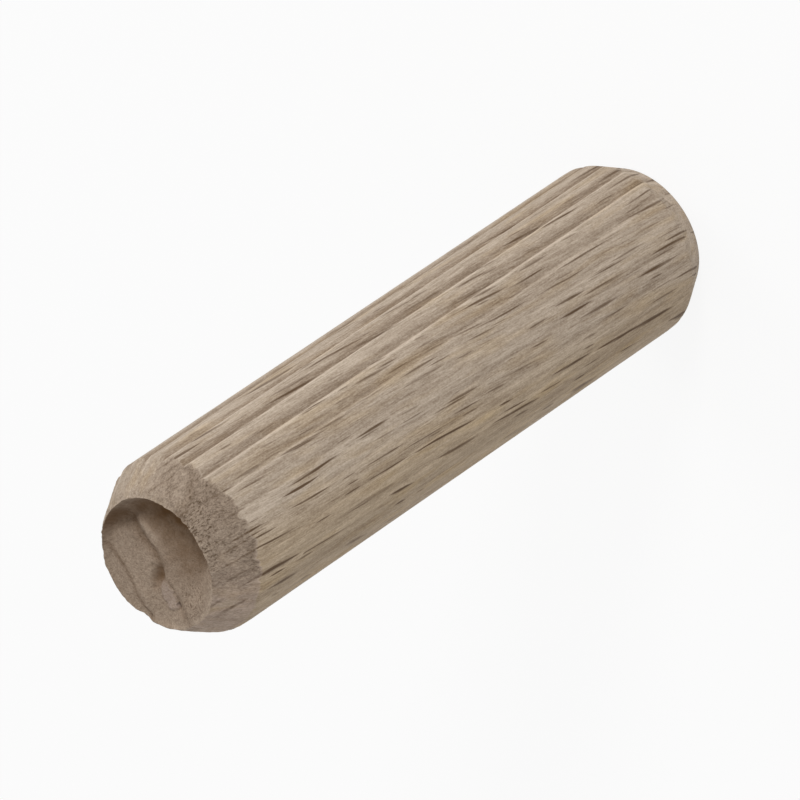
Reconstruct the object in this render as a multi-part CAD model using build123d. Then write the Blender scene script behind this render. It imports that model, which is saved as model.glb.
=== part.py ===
from build123d import *
import os
from math import cos, degrees, radians, sin, tan

os.makedirs("parts", exist_ok=True)

# A long wooden dowel pin, standing on its plain end with its torn end up.
# Millimetres, +Z along the pin, origin at the middle of the foot.

# Body, measured over its lands
DIAMETER = 10.0
LENGTH = 40.0

# Lead-in chamfers: how far each runs along the pin, and how far it comes in from the body
FOOT_CHAMFER = 1.9
FOOT_INSET = 1.0
TOP_CHAMFER = 2.4
TOP_INSET = 1.28

# Glue flutes pressed in from end to end, as sharp Vs between round lands
FLUTES = 24
FLUTE_WIDTH = 0.30
FLUTE_DEPTH = 0.16
FLUTE_TURN = -1.8

# Torn hollow in the top end: a thin rim, and a wall that leans inwards as it goes down
RIM = 0.06
WALL_LEAN = 20.0

# Two growth rings cross the hollow almost along X, and the wood beside and between them has torn as three sloping bands.
# Each band has its depth over the pin's axis, its rise towards +Y and its fall towards +X.
RING_TURN = -4.5
FRONT_RING = 0.75
BACK_RING = 2.45
FRONT_BAND = {"depth": 0.70, "rise": 8.0, "fall": 5.0}
MIDDLE_BAND = {"depth": 0.90, "rise": 13.0, "fall": 3.5}
BACK_BAND = {"depth": 0.86, "rise": 13.0, "fall": 2.0}

# Pit torn out beside the front ring
PIT_PLACE = (-0.35, 1.0)
PIT_LENGTH = 1.3
PIT_WIDTH = 0.6
PIT_DEPTH = 1.5
PIT_TURN = -30.0
PIT_TAPER = 0.4

# Open pore on the same ring, narrowing to a point
PORE_PLACE = (-2.37, 0.87)
PORE_DIAMETER = 0.34
PORE_DEPTH = 1.3

# Chip off the rim, placed by its angle round the pin
CHIP_TURN = 120.0
CHIP_LENGTH = 1.4
CHIP_DEPTH = 0.2

RADIUS = DIAMETER / 2
FOOT_RADIUS = RADIUS - FOOT_INSET
TOP_RADIUS = RADIUS - TOP_INSET
HOLLOW_RADIUS = TOP_RADIUS - RIM


def around(radius, turn):
    return (radius * cos(radians(turn)), radius * sin(radians(turn)))


def fluted_bar():
    pitch = 360 / FLUTES
    half_mouth = degrees(FLUTE_WIDTH / 2 / RADIUS)
    bottom_radius = RADIUS - FLUTE_DEPTH
    with BuildSketch() as section:
        with BuildLine():
            for i in range(FLUTES):
                flute = FLUTE_TURN + i * pitch
                land_start = around(RADIUS, flute + half_mouth)
                land_middle = around(RADIUS, flute + pitch / 2)
                land_end = around(RADIUS, flute + pitch - half_mouth)
                Line(around(bottom_radius, flute), land_start)
                ThreePointArc(land_start, land_middle, land_end)
                Line(land_end, around(bottom_radius, flute + pitch))
        make_face()
    return extrude(section.sketch, LENGTH)


def end_cutter(end_z, chamfer, inset):
    # A ring whose inner face is the chamfer's cone, carried on past the body.
    end_radius = RADIUS - inset
    past = 1.5
    outline = Polyline(
        (end_radius, end_z),
        (end_radius + past * inset, end_z + past * chamfer),
        (end_radius + past * inset, end_z),
        close=True,
    )
    return revolve(make_face(Plane.XZ * outline), Axis.Z)


def bowl():
    ball = Sphere(HOLLOW_RADIUS / cos(radians(WALL_LEAN)))
    return Pos(0, 0, LENGTH + HOLLOW_RADIUS * tan(radians(WALL_LEAN))) * ball


def torn_band(start, end, depth, rise, fall):
    side = 2 * DIAMETER
    above_floor = Pos(0, 0, LENGTH - depth) * Rot(rise, fall, 0) * Pos(0, 0, side / 2) * Box(side, side, side)
    between_rings = Pos(0, (start + end) / 2, LENGTH) * Box(side, end - start, side)
    return Rot(0, 0, RING_TURN) * (above_floor & between_rings)


def torn_hollow():
    front = torn_band(-RADIUS, FRONT_RING, **FRONT_BAND)
    middle = torn_band(FRONT_RING, BACK_RING, **MIDDLE_BAND)
    back = torn_band(BACK_RING, RADIUS, **BACK_BAND)
    return [bowl() & band for band in (front, middle, back)]


def pit():
    x, y = PIT_PLACE
    mouth = Ellipse(PIT_LENGTH / 2, PIT_WIDTH / 2)
    bottom = Pos(0, 0, -PIT_DEPTH) * scale(mouth, PIT_TAPER)
    return Pos(x, y, LENGTH) * Rot(0, 0, PIT_TURN) * loft([bottom, mouth])


def pore():
    x, y = PORE_PLACE
    return Pos(x, y, LENGTH - PORE_DEPTH / 2) * Cone(0, PORE_DIAMETER / 2, PORE_DEPTH)


def chip():
    x, y = around(TOP_RADIUS, CHIP_TURN)
    radius = (CHIP_LENGTH**2 / 4 + CHIP_DEPTH**2) / (2 * CHIP_DEPTH)
    return Pos(x, y, LENGTH - CHIP_DEPTH + radius) * Sphere(radius)


dowel_pin = fluted_bar()
dowel_pin -= end_cutter(0, FOOT_CHAMFER, FOOT_INSET)
dowel_pin -= end_cutter(LENGTH, -TOP_CHAMFER, TOP_INSET)
dowel_pin -= torn_hollow()
dowel_pin -= [pit(), pore(), chip()]

export_step(dowel_pin, "parts/dowel_pin.step")
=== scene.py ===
from math import cos, pi, radians, sin, tan

import bpy
import numpy as np
from mathutils import Matrix, Vector, noise


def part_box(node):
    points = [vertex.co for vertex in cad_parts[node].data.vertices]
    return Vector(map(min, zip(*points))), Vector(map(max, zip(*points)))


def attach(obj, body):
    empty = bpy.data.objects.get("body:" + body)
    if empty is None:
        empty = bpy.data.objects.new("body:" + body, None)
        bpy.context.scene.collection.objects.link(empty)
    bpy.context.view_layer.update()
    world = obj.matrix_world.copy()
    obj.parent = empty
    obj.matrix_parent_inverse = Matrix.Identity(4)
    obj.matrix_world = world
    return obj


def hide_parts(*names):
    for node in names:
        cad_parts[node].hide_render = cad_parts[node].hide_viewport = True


bl_info = {
    "name": "Wooden Dowel Pin",
    "version": (1, 0, 0),
    "blender": (4, 5, 0),
    "location": "View3D > Sidebar > Dowel Pin",
    "description": "Makes a fluted wooden dowel pin with a torn end, and a pale stage to show it on",
    "category": "Add Mesh",
}

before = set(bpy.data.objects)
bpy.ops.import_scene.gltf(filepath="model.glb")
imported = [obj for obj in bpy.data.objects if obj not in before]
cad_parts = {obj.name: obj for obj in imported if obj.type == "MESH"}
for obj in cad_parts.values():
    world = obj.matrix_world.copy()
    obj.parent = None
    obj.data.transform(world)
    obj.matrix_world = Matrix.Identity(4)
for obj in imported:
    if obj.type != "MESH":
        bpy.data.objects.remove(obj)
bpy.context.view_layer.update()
PIN_LOW, PIN_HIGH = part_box("dowel_pin")
PIN_DIAMETER = round(PIN_HIGH.x - PIN_LOW.x, 4)
PIN_LENGTH = round(PIN_HIGH.z - PIN_LOW.z, 4)
MM = 0.001

# Vertices round the pin: a multiple of the flutes, and of four so that a square grid can close the torn end
AROUND = 480
STEP = 2 * pi / AROUND
FOOT_ROWS = 14
SHANK_ROWS = 74
TOP_ROWS = 64
# How far down the closer rows of the torn end reach, in lengths of its chamfer
TOP_ROWS_REACH = 1.06
SHARP_EDGE = radians(48.0)

# Fields that the mesh carries for the material. Some paint light and shade into the colour: a shadow along
# the crease and the rings, a highlight along the rim, a highlight and shade at the flutes, light on the
# foot's chamfer, and shade low in the hollow.
FIELDS = (
    "torn",
    "relief",
    "pitted",
    "crease",
    "rim",
    "hollow",
    "shaded",
    "flush",
    "sliver",
    "flute",
    "pale",
    "along_rays",
)

# Smooth noise that shapes the wood: size of its lumps in millimetres along X, Y and Z, seed, and height
RIPPLES = {
    "spongy pits": ((0.13, 0.13, 0.28), 1, 0.6),
    "tufts": ((0.27, 0.27, 0.8), 2, 0.45),
    "lumps": ((0.9, 0.9, 1.3), 3, 0.5),
    "waves in the chamfer": ((1.1, 1.1, 3.0), 4, 0.05),
    "dents in the chamfer": ((0.3, 0.3, 0.9), 10, 0.035),
    "waves in the shank": ((0.5, 0.5, 6.0), 5, 0.006),
    "fingers": ((0.22, 0.22, 1.5), 13, 0.09),
    "broad fingers": ((0.7, 0.7, 2.5), 14, 0.10),
    "torn patches": ((1.3, 1.3, 2.2), 6, 0.26),
    "nicks": ((0.2, 0.2, 0.5), 8, 0.08),
    "dips in the rim": ((0.5, 0.5, 0.9), 11, 0.0315),
    "broad dips in the rim": ((1.5, 1.5, 2.0), 15, 0.036),
    "waves in the rings": ((0.45, 0.45, 1.0), 7, 0.04),
    "ragged outlines": ((0.28, 0.28, 1.0), 9, 1.0),
    "edge of the shade": ((0.5, 0.5, 0.8), 12, 0.12),
}
SEED_STEP = 17.3

# How far some sides of the pin reach round it, as the cosine of the angle from the middle of the side:
# where the side begins, and where it is full
RUBBED_REACH = (0.25, 0.62)
FLUSH_REACH = (0.62, 0.90)
CRISP_REACH = (-0.1, 0.6)
LOW_REACH = (0.57, 0.85)
TORN_REACH = (0.30, 0.95)
PALE_REACH = (0.4, 0.9)
RAYS_REACH = (0.91, 0.99)

# Painted highlight and painted shade beside each flute, in millimetres round the pin from the flute's bottom
HIGHLIGHT_MIDDLE = -0.12
HIGHLIGHT_FADE = (0.03, 0.15)
GROOVE_SHADE_START = (-0.06, 0.06)
GROOVE_SHADE_END = (0.16, 0.62)
# How much a land drops before a flute, as a share of its drop after one
CRISP_EDGE = 0.2

# The pin's side, in millimetres: how far in it is kept, so that its waves stay inside the solid, where a
# chamfer begins past its edge, and how softly the torn end's chamfer runs into the side at least
KEPT_IN = 0.006
CHAMFER_START = (-0.02, 0.09)
TOP_SOFTNESS = 0.01
# How far in the torn fibres lie on the side, as a share of their height
RELIEF_SUNK = 0.55

# The edge of the tear over the chamfer: half its width, its depth in millimetres, and where it ends, in
# lengths of the chamfer. Then how torn the wood before it is, as a share of the wood past it, and where the
# one turns into the other.
CREASE_HALF_WIDTH = radians(4.0)
CREASE_DEPTH = 0.03
CREASE_END = (0.85, 1.05)
BEFORE_CREASE = 0.83
PAST_CREASE = (radians(-8.0), radians(4.0))
# How dark the painted shadow along the edge of the tear is
CREASE_SHADOW = 0.6
# How torn the wood is: the chamfer at least, the chamfer facing the tear, the hollow, and the foot's chamfer
LEAST_TORN = 0.24
MOST_TORN = 0.96
HOLLOW_TORN = 0.95
FOOT_TORN = 0.03
# How torn it is where its pale side and its pits begin and are full, and where the painted highlight and
# shade at the flutes fade out
PALE_TEAR = (0.05, 0.2)
PITTED_TEAR = (0.2, 0.6)
FLUTE_TEAR = (0.0, 0.3)
# Where the painted light on the foot's chamfer fades out, in lengths of its chamfer
FOOT_LIGHT_FADE = (0.2, 1.3)

# The rim, in millimetres: the mean depths of its nicks and of its dips, how far down the dips reach, how far
# in the worn stretch fades out, and how wide the painted highlight along the rim is. Then the share of the
# nicks that is left away from the crisp side.
NICK_DEPTH = 0.048
DIP_DEPTH = 0.0405
DIP_REACH = 0.5
LOW_FADE = (0.2, 0.8)
RIM_HIGHLIGHT = (0.08, 0.28)
NICKS_ELSEWHERE = 0.3

# Where the dark pits on the chamfer begin and end, as angles past the edge of the tear and in millimetres
# below the rim. Then how many there are elsewhere.
PITTED_START = (radians(-4.0), radians(6.0))
PITTED_END = (radians(25.0), radians(55.0))
PITTED_TOP = (0.02, 0.18)
PITTED_BOTTOM = (0.4, 1.8)
PITTED_ELSEWHERE = 0.15

# Where the wood of the hollow's floor stands up or has sunk, in millimetres:
# place, half length, half width, turn in degrees, and height at the middle
FLOOR_SWELLS = {
    "ridge in front of the first ring": ((1.9, 0.10), 1.3, 0.26, 4.0, 0.11),
    "groove along the first ring": ((1.6, 0.62), 1.5, 0.26, 6.0, -0.10),
    "recess under the rim": ((3.1, 1.25), 0.6, 1.15, -8.0, -0.60),
    "shelf under the worn rim": ((-3.8, -0.5), 1.2, 2.6, 0.0, 0.40),
    "hump at the second ring": ((-0.9, 2.5), 0.7, 0.25, -8.0, 0.07),
}
# In the same way, where a painted highlight lies on the ridge and where painted shade lies in the recess,
# with a strength at the middle
RIDGE_HIGHLIGHT = ((1.7, -0.05), 1.3, 0.34, 4.0, 0.9)
RECESS_SHADE = ((3.35, 1.55), 0.65, 1.2, -8.0, 0.75)
# Small things on the floor: place, half length, half width, and turn in degrees
PIT = ((-0.56, 1.16), 1.08, 0.50, -50.0)
PORE = ((-2.38, 0.86), 0.17, 0.105, 0.0)
SLIVER = ((-1.68, 1.12), 0.84, 0.40, -3.0)
SPECKS = ((-2.6, -0.5), 1.0, 1.0, 0.0)
# From where each is whole to where it is gone, in its half sizes, or for the sliver in their cubes
PIT_EDGE = (0.0, 1.1)
PORE_EDGE = (0.3, 1.0)
SLIVER_EDGE = (0.35, 1.15)
SPECKS_EDGE = (0.5, 1.4)
# How ragged two of them are, how much painted shade the holes get, and how strong the specks are
PIT_RAGGED = 0.20
SLIVER_RAGGED = 0.6
PIT_SHADE = 0.75
PORE_SHADE = 1.3
SPECKS_STRENGTH = 0.7

# How far the two growth rings wander from straight lines across the hollow, in millimetres: X, then Y
FRONT_RING_WANDER = (
    (-3.6, -2.4, -1.6, -0.9, -0.1, 0.4, 1.2, 2.7),
    (-0.55, -0.22, -0.05, 0.06, -0.20, -0.28, -0.14, 0.26),
)
BACK_RING_WANDER = (
    (-2.2, -1.1, -0.6, -0.1, 0.6, 1.8, 2.8),
    (0.19, 0.31, 0.24, 0.16, 0.16, 0.29, 0.34),
)
# Where the floor steps from one band to the next, in millimetres behind the ring between them, and where the
# stain of the front band fades out
FRONT_STEP = (-0.38, 0.20)
BACK_STEP = (-0.05, 0.10)
FRONT_BAND_END = (-1.0, 0.15)
# The painted shadow behind each ring's step: how far behind the ring, half width in millimetres, and
# strength
FRONT_RING_SHADOW = (0.04, 0.32, 0.6)
BACK_RING_SHADOW = (0.06, 0.12, 1.0)
# In millimetres, how softly the floor runs into the wall, and how far off the axis the floor comes up flush
WALL_SOFTNESS = 0.45
FLUSH_START = (2.2, 3.6)
# How much of its depth the floor loses there, and how far in from the rim its pale edge fades out
FLUSH_LIFT = 0.9
FLUSH_LINE = (0.0, 0.6)
# The depth in millimetres at which the floor has all its detail. Then the share of the rim's wear that it
# doesn't have, the height of its fibres next to the chamfer's, and how much smoother the sliver is.
DETAIL_DEPTH = 0.2
WEAR_LOST = 0.5
FLOOR_FIBRES = 0.6
SLIVER_SMOOTHNESS = 0.8
# Painted shade low in the hollow, darker the deeper the floor lies: the depths in millimetres where it
# begins and is full, and its strength
DEPTH_SHADE_STEPS = ((0.55, 0.95, 0.42), (0.95, 1.25, 0.45))
# The share of it behind the front band. Then a darker, browner tone over that band: where it begins and is
# full along X, in millimetres, and its strength.
SHADE_BEHIND = 0.45
FRONT_DARKENING = (-3.2, -0.8)
FRONT_DARKENING_STRENGTH = 0.14

# Noise in the beech: size of its lumps in millimetres along a ring, across the rings and along the grain,
# then its detail and its roughness
GRAIN = {
    "threads": ((0.055, 0.055, 0.80), 1.0, 0.5),
    "fibres": ((0.12, 0.12, 2.2), 1.0, 0.5),
    "strands": ((0.27, 0.27, 5.0), 1.0, 0.5),
    "streaks": ((0.9, 0.9, 13.0), 1.0, 0.5),
    "warmth": ((0.7, 0.7, 5.0), 2.0, 0.5),
    "grit": ((0.075, 0.075, 0.16), 2.0, 0.65),
    "pits": ((0.12, 0.12, 0.40), 2.0, 0.65),
}
# How the grain bends and twists: size of the noise, and how far it carries the grain, in millimetres
GRAIN_WAVER = (((5.0, 5.0, 18.0), 0.9), ((0.7, 0.7, 3.0), 0.10))

# How late in its ring the late wood begins and is full, and how low the noise is where a pit does
LATE_WOOD = (0.45, 1.0)
DARK_PITS = (-0.02, -0.16)

# How torn wood is where it begins to count as torn, and where it counts in full
TORN_START = (0.05, 0.25)
# Two values of the noise, or two places in millimetres along a ring, and how warm the wood is at each
WARM_STREAKS = (0.0, 0.25, 0.0, 0.6)
WARM_SIDE = (-2.8, -4.4, 0.0, 0.5)
# How much each field makes the wood paler, above zero, or darker
PLANED_TONE = {
    "threads": 0.75,
    "fibres": 0.72,
    "strands": 0.47,
    "streaks": 0.45,
    "grit": 1.0,
    "late": -0.10,
    # flute: painted highlight on the edge before each flute, painted shade in it and past it
    "flute": 0.37,
    # pale: painted light on the foot's chamfer, and the paler wood of the torn end's hardly torn side
    "pale": 0.20,
}
PLANED_MIDDLE = 0.56
TORN_TONE = {
    "fibres": 0.5,
    "strands": 0.4,
    "grit": 1.1,
    # relief: the torn fibres darker in their dips and paler on their tops, as painted shade
    "relief": 0.16,
    "hollow": 0.22,
    # rim: the painted highlight along the rim
    "rim": 0.19,
    "flush": 0.20,
    # crease: painted shadow along the edge of the tear and behind the rings' steps
    "crease": -0.22,
    "open pits": -0.62,
}
TORN_MIDDLE = 0.43
# How much each field darkens the torn wood towards deep brown, partly as its own browner stain and partly as
# painted shade low in the hollow and along the crease, and how much it stands up in the bump
STAIN_AND_SHADE = {"shaded": 0.88, "hollow": 0.19, "crease": 0.18, "grit": 0.3, "flush": -0.10}
BUMP = {"threads": 0.55, "fibres": 0.45, "flecks": -0.12, "torn grit": 1.6}
# How strong the bump is, and its height in millimetres
BUMP_STRENGTH = 0.6
BUMP_HEIGHT = 0.06
# How rough even planed wood and uneven torn wood are, and how much the bare wood shines
ROUGHNESS = (0.62, 0.88)
SHINE = 0.12
REFRACTION = 1.45

# Ray flecks in three sizes: the size of the cells that hold one each, and half the size of a fleck, both in
# millimetres along a ring, across the rings and along the grain. Then the share of the cells that is kept,
# how far the cells are shifted, and the flecks' strength.
FLECKS = (
    ((0.66, 2.0, 7.2), (0.100, 0.90, 3.3), 0.62, (0.0, 0.0, 0.0), 1.0),
    ((0.70, 1.9, 5.6), (0.092, 0.80, 2.5), 0.60, (3.1, 7.7, 1.9), 1.0),
    ((0.42, 1.4, 3.2), (0.060, 0.60, 1.1), 0.50, (5.3, 2.1, 9.7), 0.7),
)
# What the length of a fleck is divided by, at least and at most. Then where a fleck begins and is full, in
# its half sizes, how unlike their strengths are, and how far off the middles of their cells they lie.
FLECK_SHORTER = (0.80, 1.9)
FLECK_EDGE = (1.0, 0.40)
FLECK_UNLIKE = 0.22
FLECK_SCATTER = 0.7
# How some fields change the flecks' strength: two values of the field, and the strength at each
FLECK_STRENGTH = {
    "torn": (0.0, 0.25, 0.88, 0.48),
    "hollow": (0.0, 1.0, 1.0, 0.2),
    "along_rays": (0.0, 1.0, 1.0, 0.22),
    "along ring": (-1.2, -3.4, 1.0, 1.4),
}

FLOOR_SIDES = 48
FLOOR_RINGS = np.linspace(0.02, 0.9, 12)
FLOOR_HEIGHT = -0.02 * MM


def length(name, description, mm):
    return bpy.props.FloatProperty(
        name=name, description=description, default=mm * MM, precision=5, unit="LENGTH"
    )


def angle(name, description, turn):
    return bpy.props.FloatProperty(
        name=name, description=description, default=radians(turn), subtype="ANGLE"
    )


def share(name, description, value):
    return bpy.props.FloatProperty(
        name=name, description=description, default=value, min=0.0, max=1.0, subtype="FACTOR"
    )


def colour(name, description, rgb):
    return bpy.props.FloatVectorProperty(
        name=name, description=description, default=(*rgb, 1.0), size=4, min=0.0, max=1.0, subtype="COLOR"
    )


class PinSizes(bpy.types.PropertyGroup):
    length: length("Length", "Length of the pin from its foot to its top end", PIN_LENGTH / MM)
    diameter: length("Diameter", "Diameter over the lands", PIN_DIAMETER / MM)
    foot_chamfer: length("Foot Chamfer", "How far the foot's chamfer runs along the pin", 1.9)
    foot_inset: length("Foot Inset", "How far the foot's chamfer comes in", 1.0)
    foot_round: length("Foot Round", "How softly the foot's chamfer runs into the side", 0.10)
    top_chamfer: length("Top Chamfer", "How far the torn end's chamfer runs along the pin", 2.4)
    top_inset: length("Top Inset", "How far the torn end's chamfer comes in", 1.28)
    flutes: bpy.props.IntProperty(name="Flutes", description="Flutes round the pin", default=24, min=3)
    flute_width: length("Flute Width", "Width of a flute's mouth", 0.30)
    flute_depth: length("Flute Depth", "Depth of a flute below its lands", 0.16)
    flute_turn: angle("Flute Turn", "How far the first flute is turned from +X", -1.8)
    land_round: length("Land Round", "How far a land drops at its rounded edge", 0.085)
    worn_turn: angle("Worn Turn", "Which side has been rubbed, so that its flutes are shallow", 222.0)
    worn_share: share("Worn Share", "How much of a flute's depth is gone on the rubbed side", 0.82)


class TornEndSizes(bpy.types.PropertyGroup):
    rim: length("Rim", "Width of the thin rim round the hollow", 0.06)
    wall_lean: angle("Wall Lean", "How much the hollow's wall leans inwards at the rim", 20.0)
    ring_turn: angle("Ring Turn", "How far the growth rings are turned from the X axis", -4.5)
    front_ring: length("Front Ring", "Where the first growth ring crosses the hollow", 0.75)
    back_ring: length("Back Ring", "Where the second growth ring crosses the hollow", 2.45)
    front_depth: length("Front Depth", "Depth of the band in front of the rings, over the pin's axis", 0.70)
    front_rise: angle("Front Rise", "Rise of that band towards the back", 8.0)
    front_fall: angle("Front Fall", "Fall of that band towards +X", 5.0)
    middle_depth: length("Middle Depth", "Depth of the band between the rings, over the pin's axis", 0.90)
    middle_rise: angle("Middle Rise", "Rise of that band towards the back", 13.0)
    middle_fall: angle("Middle Fall", "Fall of that band towards +X", 3.5)
    back_depth: length("Back Depth", "Depth of the band behind the rings, over the pin's axis", 1.06)
    back_rise: angle("Back Rise", "Rise of that band towards the back", 15.5)
    back_fall: angle("Back Fall", "Fall of that band towards +X", 2.0)
    pit_depth: length("Pit Depth", "Depth of the torn pit below the floor round it", 0.28)
    pore_depth: length("Pore Depth", "Depth of the open pore below the floor round it", 0.6)
    sliver_height: length("Sliver Height", "Height of the loose sliver above the floor round it", 0.13)
    chip_turn: angle("Chip Turn", "Where the chip is, round the rim", 120.0)
    chip_length: length("Chip Length", "Length of the chip along the rim", 1.4)
    chip_depth: length("Chip Depth", "Depth of the chip", 0.2)
    flush_turn: angle("Flush Turn", "Which side of the hollow's floor comes up level with the rim", 194.0)
    # The pale line along that side of the rim is a painted highlight
    crisp_turn: angle("Crisp Turn", "Which side of the rim stands crisp and pale", 330.0)
    torn_turn: angle("Torn Turn", "Which side of the chamfer is torn the most", 277.0)
    crease_turn: angle("Crease Turn", "Where the edge of the tear leaves the rim", 286.0)
    crease_slant: angle("Crease Slant", "How far that edge turns on its way over the chamfer", 23.0)
    low_turn: angle("Low Turn", "Which side of the rim is worn low", 320.0)
    low_depth: length("Low Depth", "How much of the rim is worn away there", 0.12)
    pale_turn: angle("Pale Turn", "Which side of the chamfer is paler, as it is hardly torn", 195.0)
    pale_round: length("Pale Round", "How softly the chamfer runs into the pin's side there", 0.2)
    fibre_relief: length("Fibre Relief", "Height of the torn fibres on the end and its chamfer", 0.05)


class WoodLook(bpy.types.PropertyGroup):
    dark_wood: colour("Dark Wood", "Colour of the darkest planed fibres", (0.236, 0.174, 0.122))
    pale_wood: colour("Pale Wood", "Colour of the palest planed fibres", (0.562, 0.468, 0.373))
    warm_tint: colour("Warm Tint", "Tint of the warmer streaks and of the warmer -X side", (1.0, 0.92, 0.74))
    torn_dark: colour("Torn Dark", "Colour in the pits of the torn end", (0.105, 0.070, 0.045))
    torn_pale: colour("Torn Pale", "Colour of the fibres that stand on the torn end", (0.505, 0.401, 0.311))
    # Deep wood is the brown the torn wood darkens to, as its own stain and as painted shade low in the
    # hollow
    deep_wood: colour("Deep Wood", "Colour of the stained wood low in the hollow", (0.112, 0.053, 0.016))
    bare_sliver: colour("Bare Sliver", "Colour of the loose sliver", (0.370, 0.288, 0.245))
    ray_fleck: colour("Ray Fleck", "Colour of the ray flecks", (0.110, 0.067, 0.038))
    end_tint: colour("End Tint", "Tint of the chamfer's pale side at the torn end", (1.0, 0.945, 0.965))
    grain_slope: angle("Grain Slope", "Angle between the grain and the pin", 3.3)
    ring_gap: length("Ring Gap", "Distance between growth rings", 1.7)


class StageLook(bpy.types.PropertyGroup):
    floor: colour("Floor", "Colour of the floor", (0.92, 0.92, 0.92))
    floor_white: share("Floor White", "How white the camera sees the floor, over the shadow on it", 0.88)
    camera_elevation: angle("Camera Elevation", "Height of the camera above the horizon", 40.76)
    camera_roll: angle("Camera Roll", "Turn of the camera about its line of sight", -124.19)
    camera_distance: length("Camera Distance", "Distance from the camera to the pin's middle", 487.66)
    camera_shift_x: length("Camera Shift X", "How far right the pin's middle is in the picture", 0.229)
    camera_shift_y: length("Camera Shift Y", "How far up the pin's middle is in the picture", 0.200)
    lens: bpy.props.FloatProperty(
        name="Lens", description="Focal length on a 36 mm sensor", default=422.9, unit="CAMERA"
    )
    ambient: bpy.props.FloatProperty(
        name="Ambient", description="Strength of the light from all round", default=0.56, min=0.0
    )
    key_power: bpy.props.FloatProperty(
        name="Key Light", description="Power of the lamp in front", default=2.4, min=0.0, unit="POWER"
    )
    side_power: bpy.props.FloatProperty(
        name="Side Light", description="Power of the lamp at the side", default=1.5, min=0.0, unit="POWER"
    )


def around(radius, turns):
    return np.stack([radius * np.cos(turns), radius * np.sin(turns)], axis=-1)


def at_height(places, height):
    return np.column_stack([places, np.full(len(places), height)])


def ripple(points, name):
    """One of the RIPPLES at each point."""
    size, seed, height = RIPPLES[name]
    places = np.asarray(points) / (np.asarray(size) * MM) + SEED_STEP * seed
    return height * np.array([noise.noise(place) for place in places])


def smooth_step(low, high, values):
    t = np.clip((values - low) / (high - low), 0.0, 1.0)
    return t * t * (3.0 - 2.0 * t)


def facing(turns, middle, reach):
    """1 on one side of the pin and 0 away from it, from the angle of its middle and its reach."""
    return smooth_step(*reach, np.cos(turns - middle))


def rim_radius(sizes):
    return sizes.diameter / 2 - sizes.top_inset


def inside_rim(sizes, points):
    """How far inside the rim each point is, in millimetres."""
    return (rim_radius(sizes) - np.hypot(points[:, 0], points[:, 1])) / MM


def ring_turns(sizes):
    """Angles of the vertices round the pin, turned so that each flute has vertices along its bottom."""
    offset = sizes.flute_turn - round(sizes.flute_turn / STEP) * STEP
    return np.arange(AROUND) * STEP + offset


def past_flute(sizes, turns):
    """Distance round the pin from the nearest flute's bottom, below zero before the flute."""
    pitch = 2 * pi / sizes.flutes
    return ((turns - sizes.flute_turn + pitch / 2) % pitch - pitch / 2) * sizes.diameter / 2


def wear(sizes, turns):
    """How much of the flutes has been rubbed away at each angle."""
    return sizes.worn_share * facing(turns, sizes.worn_turn, RUBBED_REACH)


def section_radius(sizes, turns):
    """Radius of the fluted section at each angle. A land is rounded after a flute and crisp before one."""
    radius = sizes.diameter / 2
    past = past_flute(sizes, turns)
    half_mouth = sizes.flute_width / 2
    half_land = pi * radius / sizes.flutes - half_mouth
    off_flute = np.abs(past)
    across_land = np.clip((off_flute - half_mouth) / half_land, 0.0, 1.0)
    edge_drop = sizes.land_round * np.where(past > 0.0, 1.0, CRISP_EDGE)
    land = edge_drop * (1.0 - across_land) ** 2
    vee = (sizes.flute_depth - edge_drop) * np.clip(1.0 - off_flute / half_mouth, 0.0, 1.0)
    return radius - (land + vee) * (1.0 - wear(sizes, turns))


def painted_flute_light(sizes, turns):
    """Painted light at the flutes: above zero as a painted highlight on the edge before each flute, below
    zero as painted shade in it and on the slope past it.
    """
    past = past_flute(sizes, turns) / MM
    highlight = 1.0 - smooth_step(*HIGHLIGHT_FADE, np.abs(past - HIGHLIGHT_MIDDLE))
    groove_shade = smooth_step(*GROOVE_SHADE_START, past) * (1.0 - smooth_step(*GROOVE_SHADE_END, past))
    return (highlight - groove_shade) * (1.0 - wear(sizes, turns))


def chamfer_radius(sizes, heights):
    """Radii at each height of the foot's cone and of the torn end's, carried on past the body."""
    radius = sizes.diameter / 2
    foot = radius - sizes.foot_inset * (1.0 - heights / sizes.foot_chamfer)
    top = radius - sizes.top_inset * (1.0 - (sizes.length - heights) / sizes.top_chamfer)
    return foot, top


def rounded_lower(first, second, softness):
    """The lower of two values, eased where they cross."""
    near = np.clip(1.0 - np.abs(first - second) / softness, 0.0, 1.0)
    return np.minimum(first, second) - softness * near * near / 4


def side_rows(sizes):
    shank_top = sizes.length - TOP_ROWS_REACH * sizes.top_chamfer
    foot = np.linspace(0.0, sizes.foot_chamfer, FOOT_ROWS, endpoint=False)
    shank = np.linspace(sizes.foot_chamfer, shank_top, SHANK_ROWS, endpoint=False)
    top = np.linspace(shank_top, sizes.length, TOP_ROWS)
    return np.concatenate([foot, shank, top])


def rim_drop(torn, sizes, points):
    """How far the chip, the worn stretch and small nicks lower the rim at each point."""
    chip_x, chip_y = around(rim_radius(sizes), torn.chip_turn)
    from_chip = np.hypot(points[:, 0] - chip_x, points[:, 1] - chip_y)
    chip = torn.chip_depth * (1.0 - smooth_step(0.0, torn.chip_length / 2, from_chip))
    turns = np.arctan2(points[:, 1], points[:, 0])
    low = facing(turns, torn.low_turn, LOW_REACH) * (1.0 - smooth_step(*LOW_FADE, inside_rim(sizes, points)))
    nicks = MM * np.maximum(NICK_DEPTH + ripple(points, "nicks"), 0.0)
    nicks *= NICKS_ELSEWHERE + (1.0 - NICKS_ELSEWHERE) * facing(turns, torn.crisp_turn, CRISP_REACH)
    return chip + torn.low_depth * low + nicks


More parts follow.
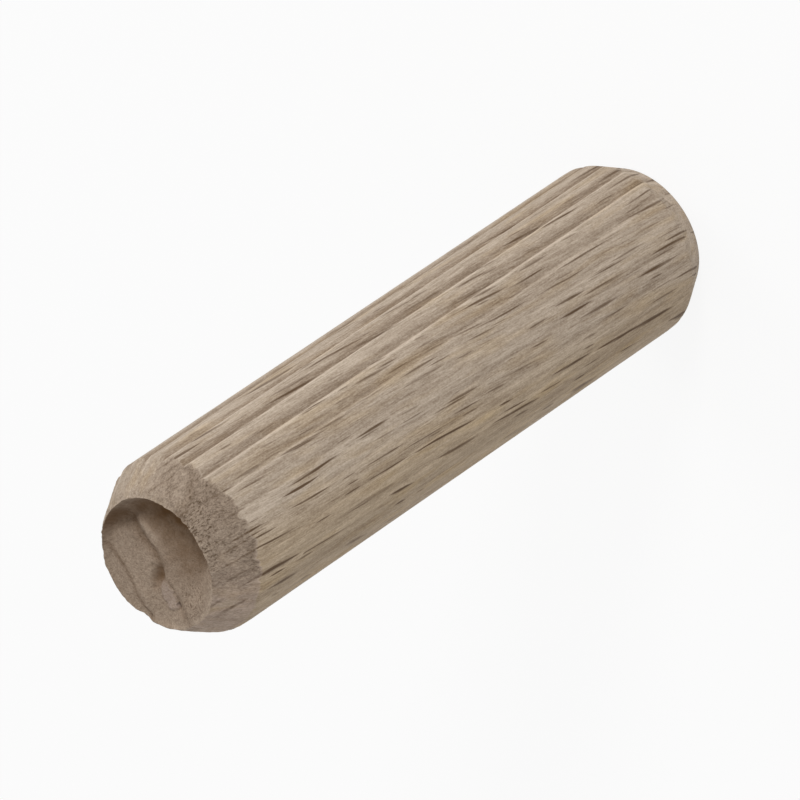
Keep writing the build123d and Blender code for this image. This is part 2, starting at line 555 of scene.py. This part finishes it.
def past_crease(torn, sizes, turns, heights):
    """Angle from the edge of the tear on the chamfer, above zero on its torn side."""
    below = (sizes.length - heights) / sizes.top_chamfer
    return (torn.crease_turn + torn.crease_slant * below - turns + pi) % (2 * pi) - pi


def tear_crease(torn, sizes, turns, heights):
    """How near the edge of the tear each point of the chamfer is, from 0 to 1."""
    on_chamfer = 1.0 - smooth_step(*CREASE_END, (sizes.length - heights) / sizes.top_chamfer)
    return np.exp(-((past_crease(torn, sizes, turns, heights) / CREASE_HALF_WIDTH) ** 2)) * on_chamfer


def tear_of_chamfer(torn, sizes, points, turns):
    """How torn the end's chamfer is at each point, from 0 to 1."""
    past = smooth_step(*PAST_CREASE, past_crease(torn, sizes, turns, points[:, 2]))
    most = facing(turns, torn.torn_turn, TORN_REACH) * (BEFORE_CREASE + (1.0 - BEFORE_CREASE) * past)
    return np.clip(LEAST_TORN + (MOST_TORN - LEAST_TORN) * most + ripple(points, "torn patches"), 0.0, 1.0)


def torn_relief(points):
    """Height of the torn fibres, from about -1 to 1."""
    return ripple(points, "spongy pits") + ripple(points, "tufts") + ripple(points, "lumps")


def rim_highlight(torn, turns, from_rim):
    """A painted highlight along the rim on its crisp side, the side that faces the lamps."""
    return facing(turns, torn.crisp_turn, CRISP_REACH) * (1.0 - smooth_step(*RIM_HIGHLIGHT, from_rim))


def side_points(sizes, torn):
    """The points of the pin's side, row by row from the foot, and the fields that colour its wood."""
    grid_turns, grid_heights = np.meshgrid(ring_turns(sizes), side_rows(sizes))
    turns, heights = grid_turns.ravel(), grid_heights.ravel()
    shank = section_radius(sizes, turns)
    foot, top = chamfer_radius(sizes, heights)
    at_top = heights > sizes.length / 2
    even = np.column_stack([around(np.minimum(foot, top), turns), heights])
    top += MM * (ripple(even, "waves in the chamfer") + ripple(even, "dents in the chamfer"))
    fingers = MM * (ripple(even, "fingers") + ripple(even, "broad fingers"))
    past_edge = (shank - np.where(at_top, top + fingers, foot)) / MM
    on_cone = smooth_step(*CHAMFER_START, past_edge)
    tear = on_cone * np.where(at_top, tear_of_chamfer(torn, sizes, even, turns), FOOT_TORN)
    relief = torn_relief(even)
    pale_side = facing(turns, torn.pale_turn, PALE_REACH)
    softness = np.where(at_top, TOP_SOFTNESS * MM + torn.pale_round * pale_side, sizes.foot_round)
    radius = rounded_lower(shank, np.where(at_top, top, foot), softness) - KEPT_IN * MM
    radius += tear * torn.fibre_relief * (relief - RELIEF_SUNK)
    radius += (1.0 - on_cone) * MM * ripple(even, "waves in the shank")
    near_rim = smooth_step(sizes.length - DIP_REACH * MM, sizes.length, heights)
    dips = DIP_DEPTH + ripple(even, "dips in the rim") + ripple(even, "broad dips in the rim")
    radius -= near_rim * MM * np.maximum(dips, 0.0)
    radius -= CREASE_DEPTH * MM * tear_crease(torn, sizes, turns, heights)
    points = np.column_stack([around(radius, turns), heights])
    points[:, 2] -= rim_drop(torn, sizes, even) * near_rim
    return points, {"torn": tear, "relief": relief, **side_fields(points, tear, sizes, torn)}


def side_fields(points, tear, sizes, torn):
    turns = np.arctan2(points[:, 1], points[:, 0])
    heights = points[:, 2]
    below_rim = (sizes.length - heights) / MM
    past = past_crease(torn, sizes, turns, heights)
    by_pits = smooth_step(*PITTED_START, past) * (1.0 - smooth_step(*PITTED_END, past))
    by_pits *= smooth_step(*PITTED_TOP, below_rim) * (1.0 - smooth_step(*PITTED_BOTTOM, below_rim))
    by_pits = PITTED_ELSEWHERE + (1.0 - PITTED_ELSEWHERE) * by_pits
    # Painted light on the foot's chamfer, strongest at the foot
    painted_foot_light = 1.0 - smooth_step(*FOOT_LIGHT_FADE, heights / sizes.foot_chamfer)
    pale_side = facing(turns, torn.pale_turn, PALE_REACH) * smooth_step(*PALE_TEAR, tear)
    return {
        "pitted": smooth_step(*PITTED_TEAR, tear) * by_pits,
        # The crease field is a painted shadow along the edge of the tear
        "crease": CREASE_SHADOW * tear_crease(torn, sizes, turns, heights),
        # The rim field is a painted highlight along the rim
        "rim": rim_highlight(torn, turns, below_rim),
        # The flute field is painted highlight and painted shade at the flutes
        "flute": painted_flute_light(sizes, turns) * (1.0 - smooth_step(*FLUTE_TEAR, tear)),
        "pale": painted_foot_light + pale_side,
        "along_rays": smooth_step(*RAYS_REACH, np.abs(np.cos(turns))),
    }


def end_grid(sizes, rim):
    """A square grid laid on the end face. Returns its inner places, which corners are inner ones, and for
    each corner the number of the rim vertex in its direction."""
    cells = AROUND // 4
    steps = np.linspace(-1.0, 1.0, cells + 1)
    along, across = np.meshgrid(steps, steps, indexing="ij")
    wide = np.abs(along) > np.abs(across)
    reach = np.where(wide, along, across)
    over = np.where(wide, across, along) / np.where(reach == 0.0, 1.0, reach)
    turns = np.where(wide, over * pi / 4, pi / 2 - over * pi / 4)
    turns = np.where(reach < 0.0, turns + pi, turns)
    reach = np.abs(reach)
    border = np.round(turns / STEP).astype(int) % AROUND
    radius = rim_radius(sizes) * (1.25 * reach - 0.25 * reach**3)
    radius += (np.hypot(rim[border, 0], rim[border, 1]) - rim_radius(sizes)) * reach**6
    inner = reach < 1.0 - 1e-9
    return around(radius, turns + ring_turns(sizes)[0])[inner], inner, border


def band_height(places, depth, rise, fall):
    return -depth + places[:, 1] * tan(rise) - places[:, 0] * tan(fall)


def in_patch(places, middle, half_length, half_width, turn):
    """Distances along and across a turned patch from its middle, in its half length and half width."""
    off = (places - np.array(middle) * MM) @ np.array(Matrix.Rotation(radians(turn), 2)) / MM
    return off[:, 0] / half_length, off[:, 1] / half_width


def swell(places, middle, half_length, half_width, turn, height):
    along, across = in_patch(places, middle, half_length, half_width, turn)
    return height * np.exp(-(along**2) - across**2)


def past_ring(places, turned, ring, wander):
    """Distance behind a growth ring, in millimetres."""
    line = ring / MM + np.interp(turned[:, 0] / MM, *wander)
    return turned[:, 1] / MM - line - ripple(at_height(places, 0.0), "waves in the rings")


def ring_shadow(past, middle, half_width, strength):
    return strength * np.exp(-(((past - middle) / half_width) ** 2))


def hollow_height(places, sizes, torn):
    """Height of the torn hollow at each place, measured from the end of the pin. Then three fields from 0 to
    about 1: painted shadow behind the rings' steps less a painted highlight on the ridge, how flush with the
    rim, and how far into the front band."""
    turned = places @ np.array(Matrix.Rotation(torn.ring_turn, 2))
    front = band_height(turned, torn.front_depth, torn.front_rise, torn.front_fall)
    middle = band_height(turned, torn.middle_depth, torn.middle_rise, torn.middle_fall)
    back = band_height(turned, torn.back_depth, torn.back_rise, torn.back_fall)
    past_front = past_ring(places, turned, torn.front_ring, FRONT_RING_WANDER)
    past_back = past_ring(places, turned, torn.back_ring, BACK_RING_WANDER)
    floor = front + (middle - front) * smooth_step(*FRONT_STEP, past_front)
    floor = floor + (back - floor) * smooth_step(*BACK_STEP, past_back)
    for swelling in FLOOR_SWELLS.values():
        floor += MM * swell(places, *swelling)
    off_axis = np.hypot(places[:, 0], places[:, 1])
    turns = np.arctan2(places[:, 1], places[:, 0])
    flush = facing(turns, torn.flush_turn, FLUSH_REACH) * smooth_step(*FLUSH_START, off_axis / MM)
    floor *= 1.0 - FLUSH_LIFT * flush
    wall_radius = rim_radius(sizes) - torn.rim
    ball_radius = wall_radius / cos(torn.wall_lean)
    wall = wall_radius * tan(torn.wall_lean) - np.sqrt(np.maximum(ball_radius**2 - off_axis**2, 0.0))
    wall = np.where(off_axis < ball_radius, wall, 0.0)
    height = np.minimum(0.0, -rounded_lower(-floor, -wall, WALL_SOFTNESS * MM))
    # Painted shadow behind each ring's step, less a painted highlight on the ridge in front of the first
    # ring
    ring_shadows = ring_shadow(past_front, *FRONT_RING_SHADOW) + ring_shadow(past_back, *BACK_RING_SHADOW)
    ring_shadows -= swell(places, *RIDGE_HIGHLIGHT)
    return height, ring_shadows, flush, 1.0 - smooth_step(*FRONT_BAND_END, past_front)


def torn_details(places, torn):
    """Height of the loose sliver above the floor, less the depth of the torn pit and the open pore.
    Also where the sliver is, and how much painted shade the two holes get."""
    ragged = ripple(at_height(places, 0.0), "ragged outlines")
    in_pit = 1.0 - smooth_step(*PIT_EDGE, np.hypot(*in_patch(places, *PIT)) + PIT_RAGGED * ragged)
    in_pore = 1.0 - smooth_step(*PORE_EDGE, np.hypot(*in_patch(places, *PORE)))
    along, across = in_patch(places, *SLIVER)
    off_sliver = np.abs(along) ** 3 + np.abs(across) ** 3 + SLIVER_RAGGED * ragged
    sliver = 1.0 - smooth_step(*SLIVER_EDGE, off_sliver)
    height = torn.sliver_height * sliver - torn.pit_depth * in_pit - torn.pore_depth * in_pore
    return height, sliver, np.maximum(PIT_SHADE * in_pit, PORE_SHADE * in_pore)


def painted_end_shade(points, depth, in_front, holes):
    """Painted shade in the hollow: darker by its depth, most of all in front, in the recess and in the
    holes.
    """
    uneven = depth + ripple(points, "edge of the shade")
    by_depth = sum(strength * smooth_step(begin, full, uneven) for begin, full, strength in DEPTH_SHADE_STEPS)
    shaded = by_depth * (SHADE_BEHIND + (1.0 - SHADE_BEHIND) * in_front)
    shaded += FRONT_DARKENING_STRENGTH * in_front * smooth_step(*FRONT_DARKENING, points[:, 0] / MM)
    return np.maximum.reduce([shaded, swell(points[:, :2], *RECESS_SHADE), holes])


def end_points(places, sizes, torn):
    """The points of the torn hollow, and the fields that colour its wood, among them painted shade low in
    the hollow and behind the rings' steps, and a painted highlight along the rim.
    """
    height, ring_shadows, flush, in_front = hollow_height(places, sizes, torn)
    points = at_height(places, sizes.length)
    inside = smooth_step(0.0, DETAIL_DEPTH * MM, -height)
    relief = torn_relief(np.column_stack([places, sizes.length + height]))
    details, sliver, holes = torn_details(places, torn)
    drop = rim_drop(torn, sizes, points) * (1.0 - WEAR_LOST * inside)
    fibres = FLOOR_FIBRES * torn.fibre_relief * relief * (1.0 - SLIVER_SMOOTHNESS * sliver)
    points[:, 2] += np.minimum(height + (details + fibres) * inside - drop, 0.0)
    from_rim = inside_rim(sizes, points)
    off_specks = np.hypot(*in_patch(places, *SPECKS))
    return points, {
        "torn": np.full(len(points), HOLLOW_TORN),
        "hollow": np.ones(len(points)),
        "relief": relief,
        "sliver": sliver,
        "shaded": painted_end_shade(points, -height / MM, in_front, holes),
        # The crease here is painted shadow behind the rings' steps, with the ridge's painted highlight
        "crease": ring_shadows * (1.0 - sliver),
        "flush": flush * (1.0 - smooth_step(*FLUSH_LINE, from_rim)),
        "pitted": SPECKS_STRENGTH * (1.0 - smooth_step(*SPECKS_EDGE, off_specks)),
        "rim": rim_highlight(torn, np.arctan2(points[:, 1], points[:, 0]), from_rim),
    }


def rows_of_quads(rows):
    """Quads between rows of vertices that run round the pin."""
    row = np.arange(rows - 1)[:, None] * AROUND
    here = np.arange(AROUND)[None, :]
    ahead = (here + 1) % AROUND
    quads = [row + here, row + ahead, row + AROUND + ahead, row + AROUND + here]
    return np.stack(quads, axis=-1).reshape(-1, 4)


def grid_of_quads(inner, border, first_inner, rim_start):
    """Quads of the end grid. Its border uses the side's last row."""
    numbers = rim_start + border
    numbers[inner] = first_inner + np.arange(inner.sum())
    corners = [numbers[:-1, :-1], numbers[1:, :-1], numbers[1:, 1:], numbers[:-1, 1:]]
    return np.stack(corners, axis=-1).reshape(-1, 4)


def pin_mesh(sizes, torn):
    side, on_side = side_points(sizes, torn)
    rim_start = len(side) - AROUND
    places, inner, border = end_grid(sizes, side[rim_start:])
    end, on_end = end_points(places, sizes, torn)
    faces = rows_of_quads(len(side) // AROUND).tolist()
    faces += grid_of_quads(inner, border, len(side), rim_start).tolist()
    faces.append(list(range(AROUND))[::-1])
    mesh = bpy.data.meshes.new("dowel_pin_wood")
    mesh.from_pydata(np.concatenate([side, end]).tolist(), [], faces)
    for name in FIELDS:
        values = [on_side.get(name, np.zeros(len(side))), on_end.get(name, np.zeros(len(end)))]
        mesh.attributes.new(name, "FLOAT", "POINT").data.foreach_set("value", np.concatenate(values))
    mesh.validate()
    mesh.shade_smooth()
    mesh.set_sharp_from_angle(angle=SHARP_EDGE)
    return mesh


class Nodes:
    """A short way to add shader nodes to one material and link them."""

    def __init__(self, tree):
        self.tree = tree
        tree.nodes.clear()

    def add(self, kind, inputs=None, **settings):
        made = self.tree.nodes.new("ShaderNode" + kind)
        for name, value in settings.items():
            setattr(made, name, value)
        for name, value in (inputs or {}).items():
            if isinstance(value, bpy.types.NodeSocket):
                self.tree.links.new(value, made.inputs[name])
            else:
                made.inputs[name].default_value = value
        return made

    def maths(self, operation, first, second=0.0, third=0.0):
        return self.add("Math", {0: first, 1: second, 2: third}, operation=operation).outputs[0]

    def vector(self, operation, first, second=(0.0, 0.0, 0.0)):
        made = self.add("VectorMath", {0: first, 1: second}, operation=operation)
        return made.outputs["Value" if operation in ("LENGTH", "DOT_PRODUCT") else "Vector"]

    def spread(self, value, low, high, to_low=0.0, to_high=1.0, kind="LINEAR"):
        places = {"Value": value, "From Min": low, "From Max": high, "To Min": to_low, "To Max": to_high}
        return self.add("MapRange", places, interpolation_type=kind).outputs[0]

    def mix(self, amount, first, second, blend="MIX"):
        first, second = (c if isinstance(c, bpy.types.NodeSocket) else tuple(c) for c in (first, second))
        inputs = {0: amount, 6: first, 7: second}
        return self.add("Mix", inputs, data_type="RGBA", blend_type=blend).outputs[2]

    def attribute(self, name):
        return self.add("Attribute", attribute_name=name).outputs["Fac"]

    def cloud(self, place, size, detail=1.0, roughness=0.5):
        """Noise about zero, with lumps of about the given size in millimetres."""
        place = self.vector("DIVIDE", place, size)
        inputs = {"Vector": place, "Scale": 1.0, "Detail": detail, "Roughness": roughness}
        return self.maths("SUBTRACT", self.add("TexNoise", inputs).outputs["Fac"], 0.5)

    def total(self, fields, weights, start=0.0):
        """Adds each field that has a weight, times its weight, to the start."""
        result = start
        for name, weight in weights.items():
            result = self.maths("MULTIPLY_ADD", fields[name], weight, result)
        return result


def grain_place(nodes, wood):
    """The place in the wood in millimetres: X along a growth ring, Y across the rings, Z along the grain."""
    place = nodes.add("TexCoord").outputs["Object"]
    turn = (0.0, -wood.grain_slope, 0.0)
    straight = nodes.add("Mapping", {"Vector": place, "Scale": (1 / MM,) * 3, "Rotation": turn}).outputs[0]
    place = straight
    for size, reach in GRAIN_WAVER:
        waver = nodes.add("TexNoise", {"Vector": nodes.vector("DIVIDE", straight, size), "Scale": 1.0})
        off = nodes.vector("SUBTRACT", waver.outputs["Color"], (0.5, 0.5, 0.5))
        place = nodes.vector("ADD", place, nodes.vector("MULTIPLY", off, (reach, reach, 0.0)))
    return place


def lateness(nodes, place, torn, wood):
    """How late in its growth ring each place is, from 0 to 1."""
    turned = nodes.add("Mapping", {"Vector": place, "Rotation": (0.0, 0.0, -torn.ring_turn)}).outputs[0]
    across = nodes.add("SeparateXYZ", {0: turned}).outputs[1]
    rings = nodes.maths("MULTIPLY_ADD", across, MM / wood.ring_gap, -torn.front_ring / wood.ring_gap)
    return nodes.spread(nodes.maths("FRACT", rings), *LATE_WOOD)


def wood_fields(nodes, place, wood, torn):
    """Every field that the beech is made from: those that the mesh carries, the grain, and some of both."""
    fields = {name: nodes.attribute(name) for name in FIELDS}
    fields.update({name: nodes.cloud(place, *settings) for name, settings in GRAIN.items()})
    fields["late"] = lateness(nodes, place, torn, wood)
    fields["along ring"] = nodes.add("SeparateXYZ", {0: place}).outputs[0]
    fields["torn grit"] = nodes.maths("MULTIPLY", fields["grit"], fields["torn"])
    dark_pits = nodes.spread(fields["pits"], *DARK_PITS)
    fields["open pits"] = nodes.maths("MULTIPLY", dark_pits, fields["pitted"])
    return fields


def fleck_cells(nodes, place, cell, half, kept, shift):
    """Pointed flecks, at most one in each cell."""
    in_cells = nodes.vector("DIVIDE", nodes.vector("ADD", place, shift), cell)
    cells = nodes.add("TexVoronoi", {"Vector": in_cells, "Scale": 1.0, "Randomness": FLECK_SCATTER})
    chance = nodes.add("SeparateColor", {0: cells.outputs["Color"]})
    off = nodes.vector("SUBTRACT", in_cells, cells.outputs["Position"])
    off = nodes.vector("MULTIPLY", off, tuple(c / h for c, h in zip(cell, half)))
    shorter = nodes.spread(chance.outputs[1], 0.0, 1.0, *FLECK_SHORTER)
    off = nodes.vector("MULTIPLY", off, nodes.add("CombineXYZ", {0: 1.0, 1: 1.0, 2: shorter}).outputs[0])
    thick, tall, long = nodes.add("SeparateXYZ", {0: off}).outputs
    tall = nodes.maths("POWER", nodes.maths("ABSOLUTE", tall), 4.0)
    reach = nodes.maths("ADD", nodes.maths("ABSOLUTE", thick), nodes.maths("MULTIPLY_ADD", long, long, tall))
    shape = nodes.spread(reach, *FLECK_EDGE)
    strength = nodes.spread(chance.outputs[0], 1.0 - kept, 1.0)
    return nodes.maths("MULTIPLY", shape, nodes.maths("POWER", strength, FLECK_UNLIKE))


def ray_flecks(nodes, place, fields):
    """How strongly a ray fleck shows at each place."""
    flecks = 0.0
    for cell, half, kept, shift, strength in FLECKS:
        more = nodes.maths("MULTIPLY", fleck_cells(nodes, place, cell, half, kept, shift), strength)
        flecks = nodes.maths("MAXIMUM", flecks, more)
    for name, change in FLECK_STRENGTH.items():
        flecks = nodes.maths("MULTIPLY", flecks, nodes.spread(fields[name], *change))
    return nodes.maths("MULTIPLY", flecks, nodes.maths("MULTIPLY_ADD", fields["fibres"], -1.5, 1.0))


def planed_wood(nodes, fields, wood):
    """The smooth wood of the pin's side and its foot."""
    tone = nodes.total(fields, PLANED_TONE, PLANED_MIDDLE)
    planed = nodes.mix(tone, wood.dark_wood, wood.pale_wood)
    on_shank = nodes.spread(fields["torn"], *TORN_START, 1.0, 0.0)
    warm_side = nodes.maths("MULTIPLY", nodes.spread(fields["along ring"], *WARM_SIDE), on_shank)
    warm = nodes.maths("ADD", nodes.spread(fields["warmth"], *WARM_STREAKS), warm_side)
    planed = nodes.mix(warm, planed, wood.warm_tint, "MULTIPLY")
    pale_end = nodes.maths("MULTIPLY", fields["pale"], nodes.spread(fields["torn"], *TORN_START))
    return nodes.mix(pale_end, planed, wood.end_tint, "MULTIPLY")


def torn_wood(nodes, fields, wood):
    """The rough wood of the torn end, darkened by its browner stain and by painted shade, and its loose
    sliver.
    """
    tone = nodes.total(fields, TORN_TONE, TORN_MIDDLE)
    rough = nodes.mix(tone, wood.torn_dark, wood.torn_pale)
    rough = nodes.mix(nodes.total(fields, STAIN_AND_SHADE), rough, wood.deep_wood)
    streaky = nodes.maths("MULTIPLY_ADD", fields["fibres"], 1.5, 0.5)
    return nodes.mix(nodes.maths("MULTIPLY", fields["sliver"], streaky), rough, wood.bare_sliver)


def beech(wood, torn):
    """Bare beech that fills space, so that its rays, fibres and rings run on from the side into the end."""
    material = bpy.data.materials.new("bare_beech")
    material.use_nodes = True
    nodes = Nodes(material.node_tree)
    place = grain_place(nodes, wood)
    fields = wood_fields(nodes, place, wood, torn)
    fields["flecks"] = ray_flecks(nodes, place, fields)
    base = nodes.mix(fields["torn"], planed_wood(nodes, fields, wood), torn_wood(nodes, fields, wood))
    base = nodes.mix(fields["flecks"], base, wood.ray_fleck)
    relief = nodes.total(fields, BUMP)
    bump = nodes.add("Bump", {"Height": relief, "Strength": BUMP_STRENGTH, "Distance": BUMP_HEIGHT * MM})
    unevenness = nodes.maths("ADD", fields["torn"], fields["fibres"])
    shader = nodes.add(
        "BsdfPrincipled",
        {
            "Base Color": base,
            "Roughness": nodes.spread(unevenness, 0.0, 1.0, *ROUGHNESS),
            "IOR": REFRACTION,
            "Specular IOR Level": SHINE,
            "Normal": bump.outputs[0],
        },
    )
    nodes.add("OutputMaterial", {"Surface": shader.outputs[0]})
    return material


class DOWEL_OT_make_pin(bpy.types.Operator):
    """Make the fluted pin with its torn end, in bare beech"""

    bl_idname = "dowel.make_pin"
    bl_label = "Make Pin"

    def execute(self, context):
        scene = context.scene
        pin = bpy.data.objects.new("dowel_pin_wood", pin_mesh(scene.pin_sizes, scene.torn_end))
        scene.collection.objects.link(pin)
        pin.data.materials.append(beech(scene.wood_look, scene.torn_end))
        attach(pin, "root")
        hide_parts("dowel_pin")
        return {"FINISHED"}


def seen_rays(nodes):
    """1 for the rays that see the background: straight from the camera, or by gloss or glass."""
    rays = nodes.add("LightPath").outputs
    seen = nodes.maths("MAXIMUM", rays["Is Camera Ray"], rays["Is Glossy Ray"])
    return nodes.maths("MAXIMUM", seen, rays["Is Transmission Ray"])


def floor_material(stage):
    """A matt floor that the camera sees as nearly white, with the pin's shadow left on it."""
    material = bpy.data.materials.new("pale_floor")
    material.use_nodes = True
    nodes = Nodes(material.node_tree)
    matt = nodes.add("BsdfDiffuse", {"Color": tuple(stage.floor)})
    white = nodes.add("Emission", {"Color": (1.0, 1.0, 1.0, 1.0), "Strength": 1.0})
    amount = nodes.maths("MULTIPLY", seen_rays(nodes), stage.floor_white)
    lifted = nodes.add("MixShader", {0: amount, 1: matt.outputs[0], 2: white.outputs[0]})
    nodes.add("OutputMaterial", {"Surface": lifted.outputs[0]})
    return material


def add_floor(stage):
    """A round floor, a hair below the pin's foot."""
    turns = np.arange(FLOOR_SIDES) * 2 * pi / FLOOR_SIDES
    points = [(r * cos(t), r * sin(t), FLOOR_HEIGHT) for r in FLOOR_RINGS for t in turns]
    faces = [list(range(FLOOR_SIDES))]
    for inner in range(0, len(points) - FLOOR_SIDES, FLOOR_SIDES):
        outer = inner + FLOOR_SIDES
        for here in range(FLOOR_SIDES):
            ahead = (here + 1) % FLOOR_SIDES
            faces.append([inner + here, outer + here, outer + ahead, inner + ahead])
    mesh = bpy.data.meshes.new("floor")
    mesh.from_pydata(points, [], faces)
    floor = bpy.data.objects.new("floor", mesh)
    bpy.context.scene.collection.objects.link(floor)
    mesh.materials.append(floor_material(stage))


def add_world(stage):
    world = bpy.data.worlds.new("studio")
    world.use_nodes = True
    bpy.context.scene.world = world
    nodes = Nodes(world.node_tree)
    strength = nodes.spread(seen_rays(nodes), 0.0, 1.0, stage.ambient, 1.0)
    background = nodes.add("Background", {"Color": (1.0, 1.0, 1.0, 1.0), "Strength": strength})
    nodes.add("OutputWorld", {"Surface": background.outputs[0]})


def add_lamp(name, azimuth, elevation, distance, size, power):
    """A square lamp that looks at the pin's middle. Azimuth 0 is in front and 90 is on the +X side."""
    data = bpy.data.lights.new(name, "AREA")
    data.shape = "SQUARE"
    data.size = size
    data.energy = power
    lamp = bpy.data.objects.new(name, data)
    a, e = radians(azimuth), radians(elevation)
    way = Vector((sin(a) * cos(e), -cos(a) * cos(e), sin(e)))
    lamp.location = Vector((0.0, 0.0, PIN_LENGTH / 2)) + way * distance
    lamp.rotation_mode = "QUATERNION"
    lamp.rotation_quaternion = (-way).to_track_quat("-Z", "Y")
    bpy.context.scene.collection.objects.link(lamp)


def add_camera(stage):
    """A camera in front and above, rolled so that the pin lies across the picture."""
    elevation, roll = stage.camera_elevation, stage.camera_roll
    back = Vector((0.0, -cos(elevation), sin(elevation)))
    level_right = Vector((1.0, 0.0, 0.0))
    level_up = Vector((0.0, sin(elevation), cos(elevation)))
    right = cos(roll) * level_right + sin(roll) * level_up
    up = cos(roll) * level_up - sin(roll) * level_right
    turn = Matrix((right, up, back)).transposed()
    pin_middle = Vector((0.0, 0.0, PIN_LENGTH / 2))
    seen_at = Vector((stage.camera_shift_x, stage.camera_shift_y, -stage.camera_distance))
    data = bpy.data.cameras.new("camera")
    data.sensor_width = 36.0
    data.lens = stage.lens
    data.clip_start, data.clip_end = 0.01, 10.0
    camera = bpy.data.objects.new("camera", data)
    camera.matrix_world = Matrix.Translation(pin_middle - turn @ seen_at) @ turn.to_4x4()
    bpy.context.scene.collection.objects.link(camera)
    bpy.context.scene.camera = camera


class DOWEL_OT_make_stage(bpy.types.Operator):
    """Make the floor, the studio light and the camera"""

    bl_idname = "dowel.make_stage"
    bl_label = "Make Stage"

    def execute(self, context):
        stage = context.scene.stage_look
        context.scene.view_settings.view_transform = "Standard"
        add_world(stage)
        add_floor(stage)
        add_lamp("key", azimuth=34.0, elevation=24.0, distance=0.8, size=0.18, power=stage.key_power)
        add_lamp("side", azimuth=98.0, elevation=22.0, distance=0.8, size=0.3, power=stage.side_power)
        add_camera(stage)
        return {"FINISHED"}


class DOWEL_PT_panel(bpy.types.Panel):
    """Lists the pieces and their sizes"""

    bl_label = "Dowel Pin"
    bl_idname = "DOWEL_PT_panel"
    bl_space_type = "VIEW_3D"
    bl_region_type = "UI"
    bl_category = "Dowel Pin"

    def draw(self, context):
        scene = context.scene
        pieces = {
            "dowel.make_pin": (scene.pin_sizes, scene.torn_end, scene.wood_look),
            "dowel.make_stage": (scene.stage_look,),
        }
        for operator, groups in pieces.items():
            box = self.layout.box()
            for group in groups:
                for name in group.__annotations__:
                    box.prop(group, name)
            box.operator(operator)


SETTINGS = {
    "pin_sizes": PinSizes,
    "torn_end": TornEndSizes,
    "wood_look": WoodLook,
    "stage_look": StageLook,
}
CLASSES = (*SETTINGS.values(), DOWEL_OT_make_pin, DOWEL_OT_make_stage, DOWEL_PT_panel)


def register():
    for item in CLASSES:
        bpy.utils.register_class(item)
    for name, group in SETTINGS.items():
        setattr(bpy.types.Scene, name, bpy.props.PointerProperty(type=group))


def unregister():
    for name in SETTINGS:
        delattr(bpy.types.Scene, name)
    for item in reversed(CLASSES):
        bpy.utils.unregister_class(item)


def main():
    register()
    bpy.ops.dowel.make_pin()
    bpy.ops.dowel.make_stage()


if __name__ == "__main__":
    main()
